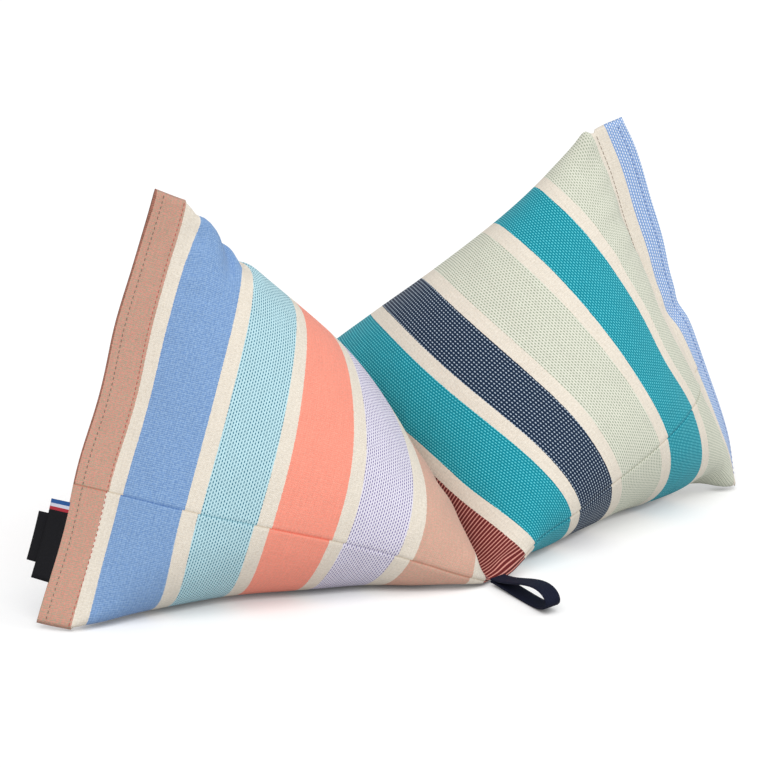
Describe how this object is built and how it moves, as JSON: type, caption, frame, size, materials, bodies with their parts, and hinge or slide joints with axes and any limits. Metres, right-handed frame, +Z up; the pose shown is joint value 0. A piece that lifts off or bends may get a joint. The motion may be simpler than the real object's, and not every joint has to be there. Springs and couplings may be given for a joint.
{
  "type": "cervical pillow",
  "caption": "Neck pillow: striped canvas tube pinched by a middle seam into stuffed lobes, with flat hems, a tape loop and plain labels.",
  "frame": {"origin": "centre of the bounding box's footprint, on the surface that the pillow rests on", "axes": "+X along the pillow from the left lobe to the right lobe, +Z up, -Y the front, where the loop comes out of the middle seam"},
  "size_m": [0.4879, 0.2796, 0.2322],
  "materials": {
    "striped_canvas": "matte woven cotton in many coloured stripes",
    "navy_tape": "matte twill tape",
    "black_label": "satin woven label",
    "care_tape": "satin printed-tape cloth, left bare"
  },
  "bodies": {
    "root": {"pillow": "striped_canvas", "carry_loop": "navy_tape", "woven_label": "black_label", "care_label": "care_tape"}
  },
  "joints": []
}
